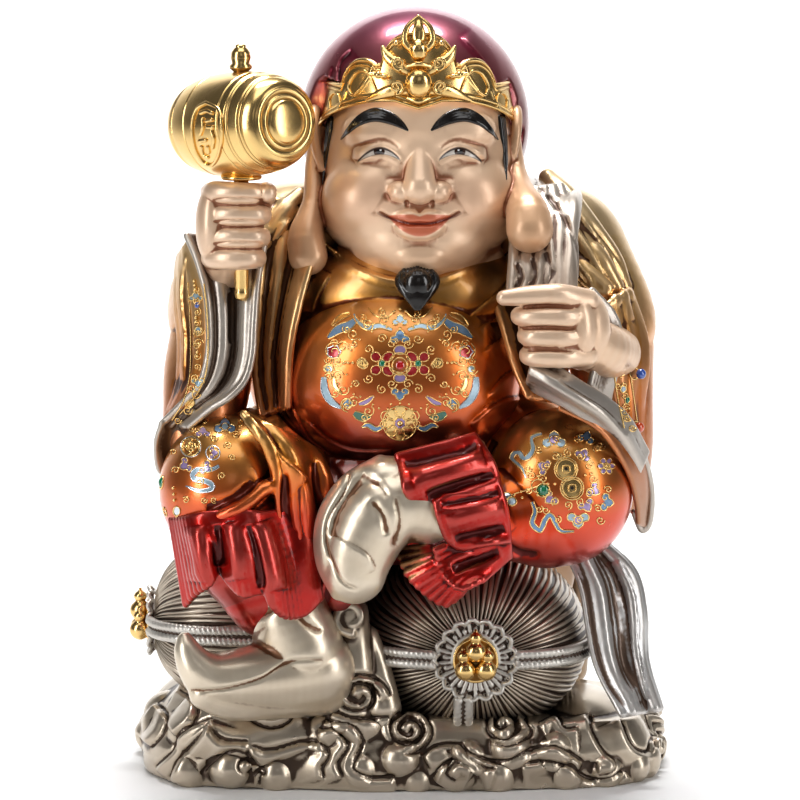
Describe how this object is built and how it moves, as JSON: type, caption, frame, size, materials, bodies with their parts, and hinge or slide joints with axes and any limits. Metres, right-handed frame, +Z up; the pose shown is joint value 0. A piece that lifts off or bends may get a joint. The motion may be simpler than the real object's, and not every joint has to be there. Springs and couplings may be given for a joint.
{
  "type": "seated deity statue",
  "caption": "Seated lucky deity on straw bales over a cloud base, holding a mallet in one fist and a sack's neck in the other, in painted cast resin.",
  "frame": {"origin": "under the middle of the whole statue, at the level of its underside", "axes": "+Z up; the figure faces -Y and its left hand, which holds the sack, is towards +X"},
  "size_m": [0.2708, 0.2018, 0.3802],
  "materials": {
    "painted_resin": "pearl and candy lacquer over a cast resin",
    "polished_gold": "polished gilt",
    "red_stone": "polished cabochon",
    "green_stone": "polished cabochon",
    "pale_blue_stone": "polished cabochon",
    "blue_stone": "polished cabochon",
    "orange_stone": "polished cabochon"
  },
  "bodies": {
    "root": {"statue": "painted_resin", "mallet": "polished_gold", "crown": "polished_gold", "front_gourds": "polished_gold", "side_gourds": "polished_gold", "belly_stone": "red_stone", "left_knee_stone": "green_stone", "left_tassel_stone": "pale_blue_stone", "right_knee_stone": "green_stone", "right_tassel_stone": "pale_blue_stone", "right_sleeve_upper_stone": "blue_stone", "right_sleeve_lower_stone": "orange_stone", "left_sleeve_upper_stone": "blue_stone", "left_sleeve_lower_stone": "orange_stone"}
  },
  "joints": []
}
